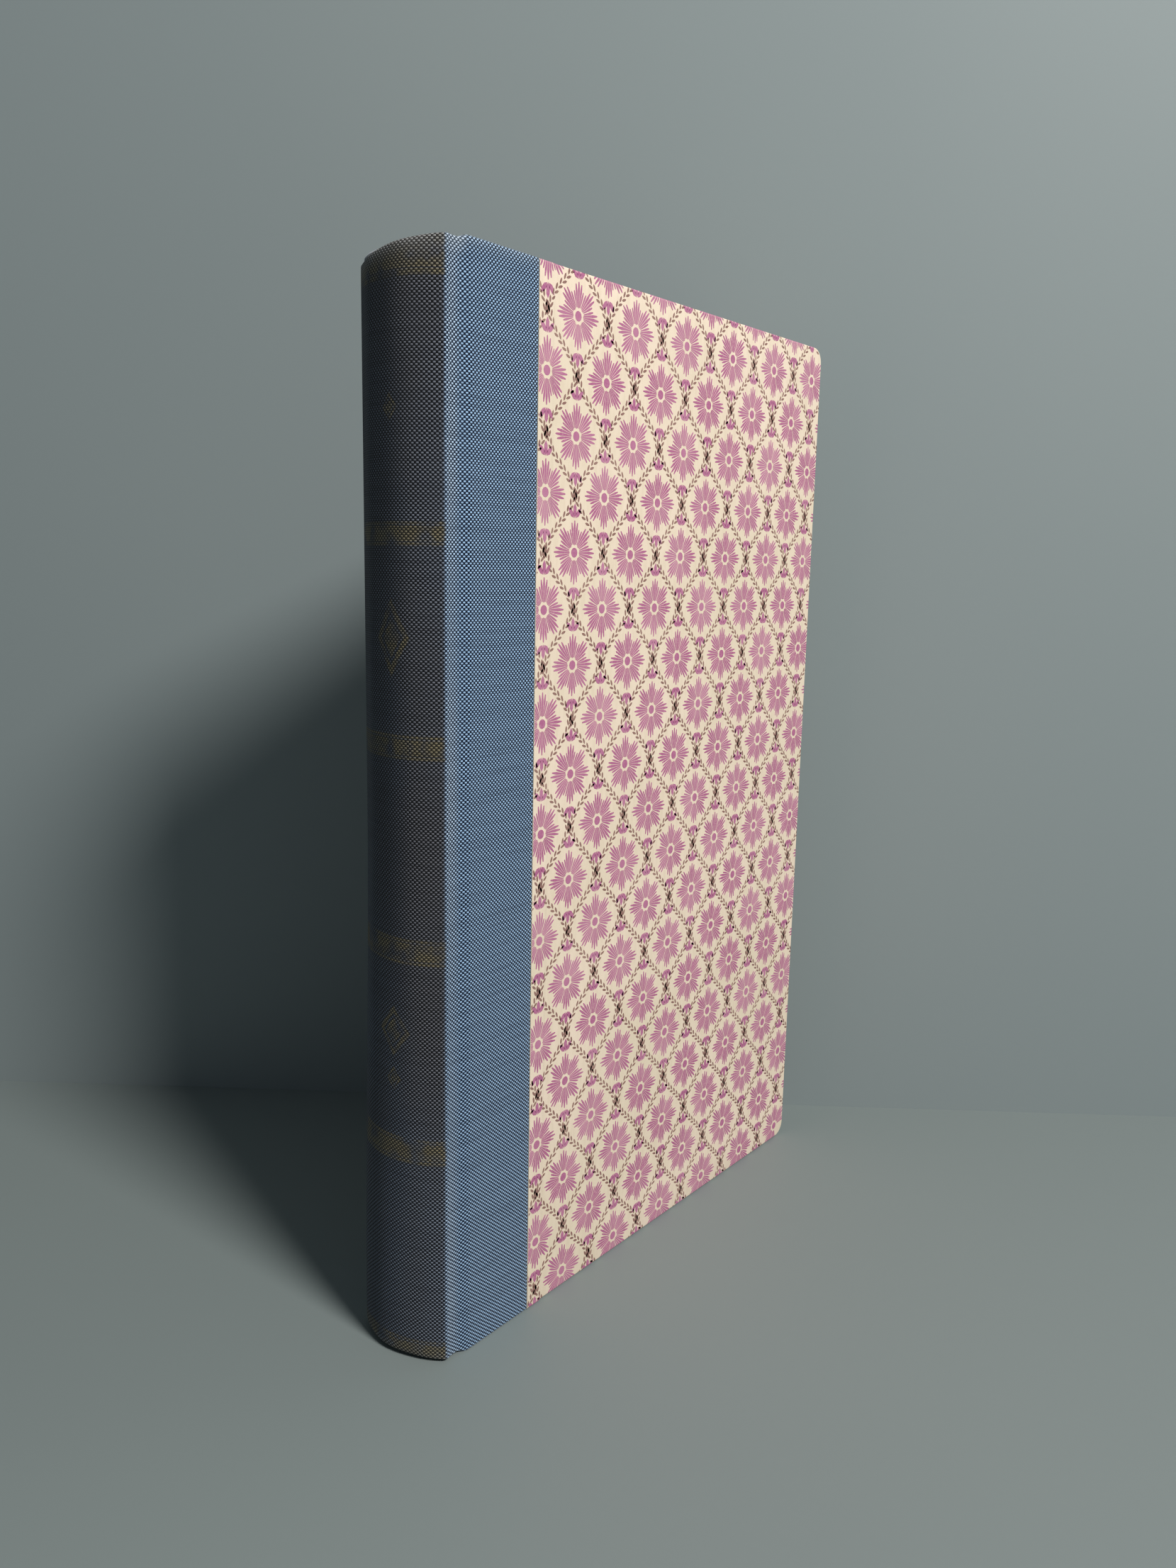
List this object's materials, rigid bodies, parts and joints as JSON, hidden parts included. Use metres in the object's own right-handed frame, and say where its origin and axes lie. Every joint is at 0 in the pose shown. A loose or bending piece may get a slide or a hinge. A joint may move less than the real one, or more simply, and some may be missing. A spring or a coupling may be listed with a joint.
{
  "type": "hardback book",
  "caption": "Closed hardback book standing on its tail: quarter-cloth case with rounded spine and patterned paper sides, hinged covers over a page block.",
  "frame": {"origin": "under the middle of the closed book, on the surface that its tail stands on", "axes": "+Z from tail to head, +X from the spine to the fore edge, -Y out of the front cover"},
  "size_m": [0.1478, 0.0256, 0.229],
  "materials": {
    "spine_cloth": "matte",
    "cover_cloth": "matte",
    "side_paper": "matte",
    "endpaper": "matte",
    "page_edges": "matte",
    "lining_paper": "matte",
    "board": "matte",
    "card": "matte",
    "mull": "matte",
    "band": "satin"
  },
  "bodies": {
    "book_block": {"text_block": "page_edges", "spine_mull": "mull", "spine_lining": "lining_paper", "head_band": "band", "tail_band": "band", "spine_card": "card", "spine_cloth": "spine_cloth", "front_free_endpaper": "endpaper", "back_free_endpaper": "endpaper"},
    "front_cover": {"front_board": "board", "front_cover_cloth": "cover_cloth", "front_side_paper": "side_paper", "front_pastedown": "endpaper", "front_mull_flange": "mull"},
    "back_cover": {"back_board": "board", "back_cover_cloth": "cover_cloth", "back_side_paper": "side_paper", "back_pastedown": "endpaper", "back_mull_flange": "mull"}
  },
  "joints": [
    {"name": "front_hinge", "type": "hinge", "parent": "book_block", "child": "front_cover", "pos_m": [-0.066, -0.0128, 0.1145], "axis": [0, 0, -1], "range_deg": [0, 175]},
    {"name": "back_hinge", "type": "hinge", "parent": "book_block", "child": "back_cover", "pos_m": [-0.066, 0.0128, 0.1145], "axis": [0, 0, 1], "range_deg": [0, 175]}
  ]
}
